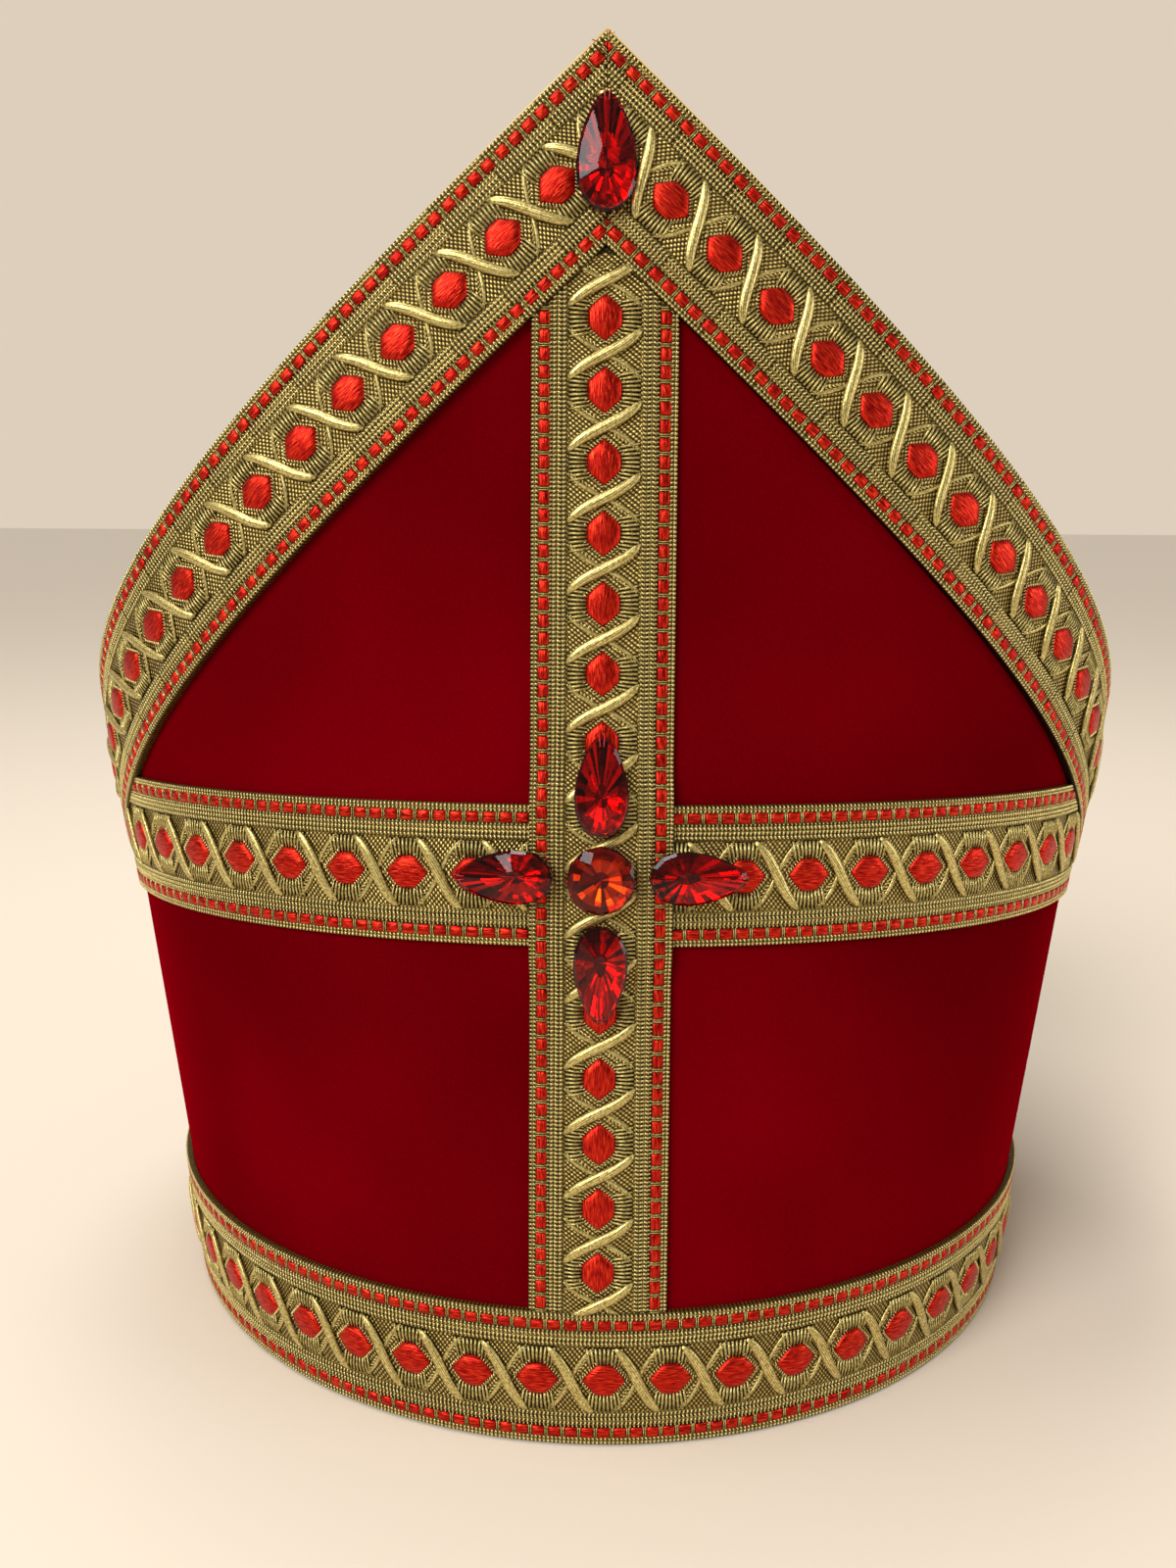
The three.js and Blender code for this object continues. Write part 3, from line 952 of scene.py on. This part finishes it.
def laying_tree():
    """Repeats a flat motif along a strip, trims it, and bends it on to the wall."""
    tree = bpy.data.node_groups.new("lay_motif_along_strip", "GeometryNodeTree")
    face = tree.interface
    face.new_socket("Geometry", in_out="OUTPUT", socket_type="NodeSocketGeometry")
    for name, kind in (
        ("Motif", "NodeSocketGeometry"),
        ("Strip Surface", "NodeSocketObject"),
        ("Repeats", "NodeSocketInt"),
        ("Pitch", "NodeSocketFloat"),
        ("First Repeat", "NodeSocketFloat"),
        ("End At", "NodeSocketFloat"),
        ("End Slant", "NodeSocketFloat"),
        ("End Point", "NodeSocketFloat"),
        ("Start At", "NodeSocketFloat"),
        ("Start Slant", "NodeSocketFloat"),
        ("Gap At", "NodeSocketFloat"),
        ("Gap Half", "NodeSocketFloat"),
        ("Finish", "NodeSocketMaterial"),
    ):
        face.new_socket(name, in_out="INPUT", socket_type=kind)
    given = node(tree, "NodeGroupInput").outputs

    first = node(tree, "ShaderNodeCombineXYZ", None, X=given["First Repeat"])
    pitch = node(tree, "ShaderNodeCombineXYZ", None, X=given["Pitch"])
    line = node(
        tree,
        "GeometryNodeMeshLine",
        None,
        Count=given["Repeats"],
        Start_Location=first,
        Offset=pitch,
    )
    placed = node(tree, "GeometryNodeInstanceOnPoints", None, Points=line, Instance=given["Motif"])
    real = node(tree, "GeometryNodeRealizeInstances", None, Geometry=placed)

    where = node(tree, "GeometryNodeInputPosition").outputs[0]
    noted = node(
        tree,
        "GeometryNodeStoreNamedAttribute",
        {"data_type": "FLOAT_VECTOR", "domain": "POINT"},
        Geometry=real,
        Name="flat",
        Value=where,
    )

    # each little shape is kept or dropped whole, by where its middle lies
    island = node(tree, "GeometryNodeInputMeshIsland").outputs["Island Index"]
    total = node(
        tree,
        "GeometryNodeAccumulateField",
        {"data_type": "FLOAT_VECTOR", "domain": "POINT"},
        Value=where,
        Group_ID=island,
    ).outputs["Total"]
    number = node(
        tree,
        "GeometryNodeAccumulateField",
        {"data_type": "FLOAT", "domain": "POINT"},
        Value=1.0,
        Group_ID=island,
    ).outputs["Total"]
    scale = calc(tree, "DIVIDE", 1.0, number)
    mean = node(
        tree, "ShaderNodeVectorMath", {"operation": "SCALE"}, Vector=total, Scale=scale
    ).outputs[0]
    middle = node(tree, "ShaderNodeSeparateXYZ", None, Vector=mean).outputs
    off = calc(tree, "SUBTRACT", middle["Y"], MIDDLE)
    end = calc(tree, "MULTIPLY_ADD", off, given["End Slant"], given["End At"])
    point = calc(tree, "MULTIPLY", calc(tree, "ABSOLUTE", off), given["End Point"])
    end = calc(tree, "SUBTRACT", end, point)
    start = calc(tree, "MULTIPLY_ADD", off, given["Start Slant"], given["Start At"])
    over = calc(tree, "GREATER_THAN", middle["X"], end)
    under = calc(tree, "LESS_THAN", middle["X"], start)
    from_gap = calc(tree, "ABSOLUTE", calc(tree, "SUBTRACT", middle["X"], given["Gap At"]))
    covered = calc(tree, "LESS_THAN", from_gap, given["Gap Half"])
    dropped = calc(tree, "MAXIMUM", calc(tree, "MAXIMUM", over, under), covered)
    trimmed = node(
        tree,
        "GeometryNodeDeleteGeometry",
        {"domain": "POINT"},
        Geometry=noted,
        Selection=dropped,
    )

    surface = node(
        tree, "GeometryNodeObjectInfo", {"transform_space": "ORIGINAL"}, Object=given["Strip Surface"]
    ).outputs["Geometry"]
    here = node(tree, "ShaderNodeSeparateXYZ", None, Vector=where).outputs
    spot = node(
        tree,
        "ShaderNodeCombineXYZ",
        None,
        X=calc(tree, "MULTIPLY_ADD", here["X"], MM, UV_SHIFT),
        Y=calc(tree, "MULTIPLY_ADD", here["Y"], MM, UV_SHIFT),
    ).outputs[0]
    map_read = node(
        tree, "GeometryNodeInputNamedAttribute", {"data_type": "FLOAT_VECTOR"}, Name="strip_map"
    ).outputs["Attribute"]
    out_read = node(
        tree, "GeometryNodeInputNamedAttribute", {"data_type": "FLOAT_VECTOR"}, Name="out"
    ).outputs["Attribute"]
    run_read = node(
        tree, "GeometryNodeInputNamedAttribute", {"data_type": "FLOAT_VECTOR"}, Name="run"
    ).outputs["Attribute"]
    landed = []
    for value in (where, out_read, run_read):
        sampled = tree.nodes.new("GeometryNodeSampleUVSurface")
        sampled.data_type = "FLOAT_VECTOR"
        tree.links.new(surface, sampled.inputs["Mesh"])
        tree.links.new(value, sampled.inputs["Value"])
        tree.links.new(map_read, sampled.inputs["UV Map"])
        tree.links.new(spot, sampled.inputs["Sample UV"])
        landed.append(sampled.outputs["Value"])
    rise = node(
        tree,
        "ShaderNodeVectorMath",
        {"operation": "SCALE"},
        Vector=landed[1],
        Scale=calc(tree, "MULTIPLY", here["Z"], MM),
    ).outputs[0]
    spot_raised = node(
        tree, "ShaderNodeVectorMath", {"operation": "ADD"}, i0=landed[0], i1=rise
    ).outputs[0]
    aimed = node(
        tree,
        "GeometryNodeStoreNamedAttribute",
        {"data_type": "FLOAT_VECTOR", "domain": "POINT"},
        Geometry=trimmed,
        Name="run",
        Value=landed[2],
    )
    laid = node(tree, "GeometryNodeSetPosition", None, Geometry=aimed, Position=spot_raised)
    real = node(tree, "GeometryNodeRealizeInstances", None, Geometry=laid)
    dressed = node(
        tree, "GeometryNodeSetMaterial", None, Geometry=real, Material=given["Finish"]
    )
    node(tree, "NodeGroupOutput", None, Geometry=dressed)
    return tree


def strip_surface(place, length, lengthwise, back):
    """An unseen face under a strip's raised work, with the strip's flat map on it."""
    along = np.linspace(-8, length + 8, lengthwise)
    ups = np.linspace(-1, WIDTH + 1, 16)
    grid_along, grid_up = np.meshgrid(along, ups, indexing="ij")
    angle, height, lift = place(grid_along, grid_up)
    grid = on_wall(angle, height, lift) * MM
    run = np.gradient(grid, axis=0)
    run = (run / np.linalg.norm(run, axis=-1, keepdims=True)).reshape(-1, 3)
    points = grid.reshape(-1, 3)
    out = outward(angle, height).reshape(-1, 3)
    if back:
        for vectors in (points, out, run):
            vectors[:, :2] *= -1
    rows = len(ups)
    faces = [
        (i * rows + j, (i + 1) * rows + j, (i + 1) * rows + j + 1, i * rows + j + 1)
        for i in range(lengthwise - 1)
        for j in range(rows - 1)
    ]
    mesh = mesh_of("strip_surface", points, faces)
    for name, vectors in (("out", out), ("run", run)):
        layer = mesh.attributes.new(name, "FLOAT_VECTOR", "POINT")
        layer.data.foreach_set("vector", vectors.ravel())
    flat_map = np.stack([grid_along, grid_up, 0 * grid_up], axis=-1).reshape(-1, 3) * MM
    flat_map[:, :2] += UV_SHIFT
    corner = np.array([flat_map[loop.vertex_index] for loop in mesh.loops])
    layer = mesh.attributes.new("strip_map", "FLOAT2", "CORNER")
    layer.data.foreach_set("vector", corner[:, :2].ravel())
    return link_object("strip_surface", mesh)


LAYING = laying_tree()
MOTIFS = {"cords": cord_motif(), "satin": satin_motif()}


def set_inputs(modifier, values):
    """Sets a modifier's inputs by their sockets' identifiers."""
    for item in modifier.node_group.interface.items_tree:
        if item.item_type == "SOCKET" and item.in_out == "INPUT" and item.name in values:
            modifier[item.identifier] = values[item.name]


def raised_work(name, kind, surface, values):
    """Lays one kind of motif along a strip and makes the result a plain mesh."""
    holder = link_object(f"{name}_holder", MOTIFS[kind].copy())
    modifier = holder.modifiers.new("lay", "NODES")
    modifier.node_group = LAYING
    finish = {"cords": CORD, "satin": RED}[kind]
    set_inputs(modifier, {**values, "Strip Surface": surface, "Finish": finish})
    graph = bpy.context.evaluated_depsgraph_get()
    mesh = bpy.data.meshes.new_from_object(holder.evaluated_get(graph))
    mesh.name = name
    bpy.data.objects.remove(holder)
    mesh.shade_smooth()
    return link_object(name, mesh)


def cut_at_seam(piece, point, normal):
    """Cuts a piece off square at a plane and closes the cut."""
    bm = bmesh.new()
    bm.from_mesh(piece.data)
    everything = list(bm.verts) + list(bm.edges) + list(bm.faces)
    cut = bmesh.ops.bisect_plane(
        bm, geom=everything, plane_co=point, plane_no=normal, clear_outer=True
    )
    edges = [e for e in cut["geom_cut"] if isinstance(e, bmesh.types.BMEdge)]
    bmesh.ops.holes_fill(bm, edges=[e for e in edges if e.is_boundary], sides=0)
    bmesh.ops.recalc_face_normals(bm, faces=bm.faces)
    bm.to_mesh(piece.data)
    bm.free()


APEX = PEAK_HEIGHT - WIDTH * EDGE_STRETCH


def strips():
    """Every galloon strip, its ground and its raised work."""

    def straight(value):
        return lambda up: np.full(np.shape(up), float(value))

    # the raked strips start on the front's middle line, so their ends are slanted
    def right_start(up):
        return (WIDTH - up) * EDGE_SLOPE + MITRE_GAP / 2 * EDGE_STRETCH

    def left_start(up):
        return up * EDGE_SLOPE + MITRE_GAP / 2 * EDGE_STRETCH

    def side_end(sign):
        def end(up):
            across = (WIDTH - up) if sign > 0 else up
            return SIDE_ARC * EDGE_STRETCH + across * EDGE_SLOPE - 0.3

        return end

    def upright_end(up):
        height = APEX + 6.0 - EDGE_SLOPE * np.abs(up - MIDDLE)
        return (height - UPRIGHT_FOOT) / WALL_SLANT

    cross_end = (APEX - CROSS_HEIGHT + droop(128.0)) / EDGE_SLOPE + CROSS_REACH + 2.0
    rows = [
        {
            "name": "upright",
            "place": upright_place,
            "length": UPRIGHT_LENGTH,
            "start": straight(0),
            "end": upright_end,
            "depth": CROSS_LIFT - 0.1,
            "pitch": PITCH,
            "first": (223.2 - UPRIGHT_FOOT) / WALL_SLANT - 15 * PITCH,
            "repeats": 17,
            "cuts": {
                "End At": (APEX - UPRIGHT_FOOT) / WALL_SLANT,
                "End Point": EDGE_SLOPE,
                "Start At": 5.0,
            },
        },
        {
            "name": "cross",
            "place": cross_place,
            "length": 2 * CROSS_REACH,
            "start": straight(0),
            "end": straight(2 * CROSS_REACH),
            "depth": CROSS_LIFT - 0.1,
            "pitch": PITCH,
            "first": CROSS_REACH + 1.4 - 11 * PITCH,
            "repeats": 23,
            "cuts": {
                "End At": cross_end,
                "End Slant": -1 / EDGE_SLOPE,
                "Start At": 2 * CROSS_REACH - cross_end,
                "Start Slant": 1 / EDGE_SLOPE,
                "Gap At": CROSS_REACH,
                "Gap Half": MIDDLE - 0.6,
            },
        },
        {
            "name": "raked_right",
            "place": raked_right_place,
            "length": RAKED_LENGTH,
            "start": right_start,
            "end": side_end(1),
            "depth": RAKED_LIFT - 0.1,
            "pitch": RAKED_PITCH,
            "first": 29.3 - 2 * RAKED_PITCH,
            "repeats": 18,
            "cuts": {"End At": 1000.0, "Start At": -1000.0},
        },
        {
            "name": "raked_left",
            "place": raked_left_place,
            "length": RAKED_LENGTH,
            "start": left_start,
            "end": side_end(-1),
            "depth": RAKED_LIFT - 0.1,
            "pitch": RAKED_PITCH,
            "first": 25.4 - 2 * RAKED_PITCH,
            "repeats": 18,
            "cuts": {"End At": 1000.0, "Start At": -1000.0},
        },
    ]
    for side, back in (("front", False), ("back", True)):
        for row in rows:
            make_strip(side, back, row)
    make_strip(
        "base",
        False,
        {
            "name": "round",
            "place": base_place,
            "length": BASE_LENGTH,
            "start": straight(0),
            "end": straight(BASE_LENGTH - BASE_JOIN),
            "depth": BASE_LIFT - 0.1,
            "pitch": BASE_LENGTH / BASE_REPEATS,
            "first": 1.4 + BASE_LENGTH / BASE_REPEATS / 2,
            "repeats": BASE_REPEATS,
            "cuts": {"End At": 1000.0, "Start At": -1000.0},
        },
    )


NODE_NAMES = {
    "upright": "upright_galloon",
    "cross": "cross_galloon",
    "raked_right": "raked_galloon_right",
    "raked_left": "raked_galloon_left",
}


def make_strip(side, back, row):
    whole_round = row["name"] == "round"
    cad = "base_galloon" if whole_round else f"{side}_{NODE_NAMES[row['name']]}"
    stations = int(row["length"] / PITCH * 6)
    ground = strip_ground(f"{cad}_ground", row, stations, back)
    surface = strip_surface(row["place"], row["length"], int(row["length"] / 1.6), back)
    values = {
        "Repeats": row["repeats"],
        "Pitch": row["pitch"],
        "First Repeat": row["first"],
        **row["cuts"],
    }
    made = [ground]
    for kind in ("cords", "satin"):
        made.append(raised_work(f"{cad}_{kind}", kind, surface, values))
    bpy.data.objects.remove(surface)
    if row["name"].startswith("raked"):
        inward = 1 if row["name"] == "raked_right" else -1
        turn = -1 if back else 1
        for piece in made[1:]:
            cut_at_seam(piece, (turn * inward * MITRE_GAP / 2 * MM, 0, 0), (-turn * inward, 0, 0))
            cut_at_seam(piece, (0, -turn * SEAM_GAP / 2 * MM, 0), (0, turn, 0))
    if row["name"] == "upright":
        turn = -1 if back else 1
        for piece in made[1:]:
            cut_at_seam(piece, (0, 0, (WIDTH + 0.1) * MM), (0, 0, -1))
        top = on_wall(np.float64(0), np.float64(APEX + 0.4), 0) * MM * np.array([1, turn, 1])
        for piece in made[1:]:
            for side_of in (-1, 1):
                cut_at_seam(piece, top, (side_of * EDGE_SLOPE, 0, 1))
    for piece in made:
        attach(piece, "root")
    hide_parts(cad)
    ups = np.linspace(0, WIDTH, 57)
    mean = float(np.mean(row["end"](ups) - row["start"](ups)))


# --- Stones ---------------------------------------------------------------------------

PEAK_DROP = {"length": 21.5, "width": 11.0}
CROSS_DROP = {"length": 19.7, "width": 10.3}
DROP_TAPER = 0.3
ROUND_DIAMETER = 13.7
STONE_TILT = 4
SEATS = [
    # arc and height on the wall; turn of the narrow end from straight up, in degrees;
    # lift of the stone's back off the wall; tilt of its narrow end towards the wall
    {"name": "peak_drop", "arc": 0, "height": 252.2, "turn": 0, "lift": 1.9, "tilt": 0},
    {"name": "cross_drop_upper", "arc": 0, "height": 135.3, "turn": 0, "lift": 3.2, "tilt": STONE_TILT},
    {"name": "cross_drop_lower", "arc": 0, "height": 98.6, "turn": 180, "lift": 3.0, "tilt": STONE_TILT},
    {"name": "cross_drop_left", "arc": -18.4, "height": 117.4, "turn": 90, "lift": 3.1, "tilt": STONE_TILT},
    {"name": "cross_drop_right", "arc": 18.4, "height": 117.4, "turn": -90, "lift": 3.1, "tilt": STONE_TILT},
    {"name": "cross_round", "arc": 0, "height": 117.2, "turn": 0, "lift": 3.4, "tilt": 0},
]


def drop_outline(share, cut):
    turn = 2 * math.pi * share
    across = math.sin(turn) * (1 - DROP_TAPER * math.cos(turn))
    return np.array([cut["width"] / 2 * across, cut["length"] / 2 * math.cos(turn)])


def round_outline(share, cut):
    turn = 2 * math.pi * share
    return ROUND_DIAMETER / 2 * np.array([math.sin(turn), math.cos(turn)])


def ringed(outline, centre, rings, sides):
    """Rings of corners; each ring may be turned half a step, and closes to the next."""
    points, faces = [], []
    for wide, above, half_step in rings:
        for k in range(sides):
            corner = outline((k + 0.5 * half_step) / sides)
            corner = centre + (corner - centre) * wide
            points.append((*corner, above))
    for r in range(len(rings) - 1):
        low, high = r * sides, (r + 1) * sides
        leads = rings[r + 1][2] - rings[r][2]
        for k in range(sides):
            n = (k + 1) % sides
            if leads == 0:
                faces.append((low + n, low + k, high + k, high + n))
            elif leads > 0:
                faces.append((low + n, low + k, high + k))
                faces.append((low + n, high + k, high + n))
            else:
                faces.append((low + k, high + k, high + n))
                faces.append((low + k, high + n, low + n))
    return points, faces


FLUTES = 18
# the way, low and to the right, towards which the foil's facets are painted brighter as flashes; facets
# turned away from it are painted darker as shade
PAINTED_FLASH_SIDE = Vector((0.55, 0.0, -0.83))
CULET = 0.24
KITES = 12


def fluted_crown(outline, centre):
    """The drop's front: long flutes that fall from a small table to the girdle."""
    rings = [(0.97, 0.0, 0), (1.0, 2.1, 0), (0.9, 2.7, 0), (CULET + 0.03, 3.4, 0)]
    points, faces = ringed(outline, centre, rings, FLUTES)
    faces.append(tuple(range(FLUTES)))
    last = (len(rings) - 1) * FLUTES
    faces.append(tuple(last + k for k in reversed(range(FLUTES))))
    return points, faces


def brilliant_crown(outline, centre):
    """The round stone's front: kites round a broad table."""
    rings = [(0.97, 0.0, 0), (1.0, 1.9, 0), (0.84, 2.6, 1), (0.58, 3.15, 0)]
    points, faces = ringed(outline, centre, rings, KITES)
    faces.append(tuple(range(KITES)))
    last = (len(rings) - 1) * KITES
    faces.append(tuple(last + k for k in reversed(range(KITES))))
    return points, faces


FOIL_RINGS = (
    # how wide, and how high its ridges and valleys stand above the stone's back
    {"wide": 0.92, "ridge": 2.05, "valley": 1.75},
    {"wide": 0.58, "ridge": 1.20, "valley": 1.00},
    {"wide": CULET, "ridge": 0.65, "valley": 0.55},
)


def foiled_back(outline, centre, flutes):
    """The mirror behind: a hollow of flutes that fold in and out round a small middle."""
    count = 2 * flutes
    points, faces = [], []
    for ring in FOIL_RINGS:
        for k in range(count):
            corner = outline(k / count)
            corner = centre + (corner - centre) * ring["wide"]
            points.append((*corner, ring["valley"] if k % 2 else ring["ridge"]))
    points.append((*centre, 0.4))
    hub = len(points) - 1
    for r in range(2):
        low, high = r * count, (r + 1) * count
        for k in range(count):
            n = (k + 1) % count
            faces.append((low + n, low + k, high + k, high + n))
    for k in range(count):
        faces.append((2 * count + (k + 1) % count, 2 * count + k, hub))
    foot = len(points)
    for k in range(count):
        corner = outline(k / count)
        corner = centre + (corner - centre) * 0.92
        points.append((*corner, 0.05))
    for k in range(count):
        n = (k + 1) % count
        faces.append((foot + n, foot + k, k, n))
    faces.append(tuple(foot + k for k in range(count)))
    return points, faces


def paint_foil_flashes_and_shade(mesh, middle, seed, count):
    """Paints each ray of the foil's facets lighter or darker: painted flashes of reflected light, more of
    them low on the right, where the light from above would catch, and painted shade on the others.
    """
    chance = random.Random(seed)
    rays = [chance.uniform(-1, 1) for _ in range(count)]
    layer = mesh.attributes.new("painted_flash", "FLOAT", "FACE")
    for k, (face, value) in enumerate(zip(mesh.polygons, layer.data)):
        away = face.center - middle
        towards = away.dot(PAINTED_FLASH_SIDE) / max(away.length, 1e-9)
        # painted flashes and shade: a tone from the facet's side plus a random ray; the middle and the foot
        # are painted darkest
        tone = 0.42 + 0.3 * towards + 0.42 * rays[k % count]
        value.value = tone if k < 2 * count else 0.0


def stone(seat):
    name = seat["name"]
    round_cut = name == "cross_round"
    cut = PEAK_DROP if name == "peak_drop" else CROSS_DROP

    def outline(share):
        return (round_outline if round_cut else drop_outline)(share, cut)

    centre = np.array([0.0, 0.0 if round_cut else -0.12 * cut["length"]])
    crown = brilliant_crown if round_cut else fluted_crown
    flutes = KITES if round_cut else FLUTES
    body_finish, foil_finish = (AMBER, AMBER_FOIL) if round_cut else (RUBY, RUBY_FOIL)
    seated = seating(seat)
    for kind, (points, faces), material in (
        ("acrylic", crown(outline, centre), body_finish),
        ("foil", foiled_back(outline, centre, flutes), foil_finish),
    ):
        piece = link_object(f"{name}_{kind}", mesh_of(f"{name}_{kind}", points, faces, False))
        piece.data.materials.append(material)
        piece.data.transform(seated)
        if kind == "foil":
            paint_foil_flashes_and_shade(piece.data, seated @ Vector((*centre, 0.5)), name, 2 * flutes)
        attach(piece, "root")
    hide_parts(name)


def seating(seat):
    """How a stone drawn flat, in millimetres, is laid on the wall, as the solid lies."""
    height = seat["height"]
    angle = angle_at(seat["arc"], height)
    centre = Vector(on_wall(angle, height, seat["lift"]))
    up = Vector(on_wall(angle, height + 1, 0) - on_wall(angle, height, 0)).normalized()
    across = up.cross(Vector(outward(angle, np.float64(height)))).normalized()
    out = across.cross(up)
    basis = Matrix((across, up, out)).transposed().to_4x4()
    tip = Matrix.Rotation(-math.radians(seat["tilt"]), 4, "X")
    turn = Matrix.Rotation(math.radians(seat["turn"]), 4, "Z")
    return Matrix.Scale(MM, 4) @ Matrix.Translation(centre) @ basis @ turn @ tip


# --- Loose threads --------------------------------------------------------------------

THREAD_RADIUS = 0.13
END_RADIUS = 0.1


def strand(parts, path, radius, sides=6):
    """A closed round thread through points in space."""
    path = [Vector(p) for p in path]
    points, faces, threads_at = [], [], []
    for k, centre in enumerate(path):
        run = (path[min(k + 1, len(path) - 1)] - path[max(k - 1, 0)]).normalized()
        side = run.cross(Vector((0.31, 0.17, 0.93))).normalized()
        other = side.cross(run)
        for j in range(sides):
            turn = 2 * math.pi * j / sides
            offset = side * math.cos(turn) + other * math.sin(turn)
            points.append(centre + offset * radius)
            threads_at.append((k, j / sides, 0))
    for k in range(len(path) - 1):
        for j in range(sides):
            n = (j + 1) % sides
            low, high = k * sides, (k + 1) * sides
            faces.append((low + j, high + j, high + n, low + n))
    faces.append(tuple(range(sides)))
    faces.append(tuple(reversed(range(len(points) - sides, len(points)))))
    parts.add(points, faces, threads_at)


def bent_path(start, aim, droop_by, length, steps=7):
    """A short free end of thread that leaves a point and curls over."""
    path = []
    for k in range(steps):
        share = k / (steps - 1)
        path.append(start + aim * (length * share) + droop_by * (length * share**2))
    return path


def peak_ends():
    """Cut ends of red and gold thread that stand out of the mitred peak."""
    tip = Vector(on_wall(np.float64(0), np.float64(PEAK_HEIGHT), 1.6))
    chance = random.Random(11)
    for kind, count, material in (("red", 6, RED_THREAD), ("gold", 4, GOLD_THREAD)):
        parts = Parts()
        for _ in range(count):
            start = tip + Vector((chance.uniform(-1.3, 1.3), chance.uniform(-0.3, 0.6), -1.4))
            start.z -= abs(start.x - tip.x)
            aim = Vector((chance.uniform(-0.9, 0.9), chance.uniform(-0.6, 0.2), 0.9))
            curl = Vector((chance.uniform(-0.6, 0.6), chance.uniform(-0.5, 0.2), -0.3))
            path = bent_path(start, aim.normalized(), curl, chance.uniform(1.2, 2.2))
            strand(parts, path, END_RADIUS)
        finish_threads(parts, f"peak_{kind}_thread_ends", material)


def finish_threads(parts, name, material):
    mesh = parts.mesh(name)
    mesh.transform(Matrix.Scale(MM, 4))
    piece = link_object(name, mesh)
    piece.data.materials.append(material)
    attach(piece, "root")


def sewing_threads():
    """The stitch that holds each drop: out of its hole and down over its narrow end."""
    parts = Parts()
    for seat in SEATS:
        if seat["name"] == "cross_round":
            continue
        cut = PEAK_DROP if seat["name"] == "peak_drop" else CROSS_DROP
        tip = cut["length"] / 2
        seated = Matrix.Scale(1 / MM, 4) @ seating(seat)
        for side in (-0.35, 0.35):
            flat = [
                (side, tip - 2.3, 2.9),
                (side, tip - 1.9, 3.35),
                (1.3 * side, tip - 1.0, 3.2),
                (1.5 * side, tip - 0.1, 2.2),
                (1.3 * side, tip + 0.35, 0.6),
                (side, tip + 0.3, -0.4),
            ]
            strand(parts, [seated @ Vector(p) for p in flat], THREAD_RADIUS)
    finish_threads(parts, "stone_sewing_threads", RED_THREAD)


# --- Making it all --------------------------------------------------------------------

camera()
studio()
halves()
strips()
for seat in SEATS:
    stone(seat)
sewing_threads()
peak_ends()
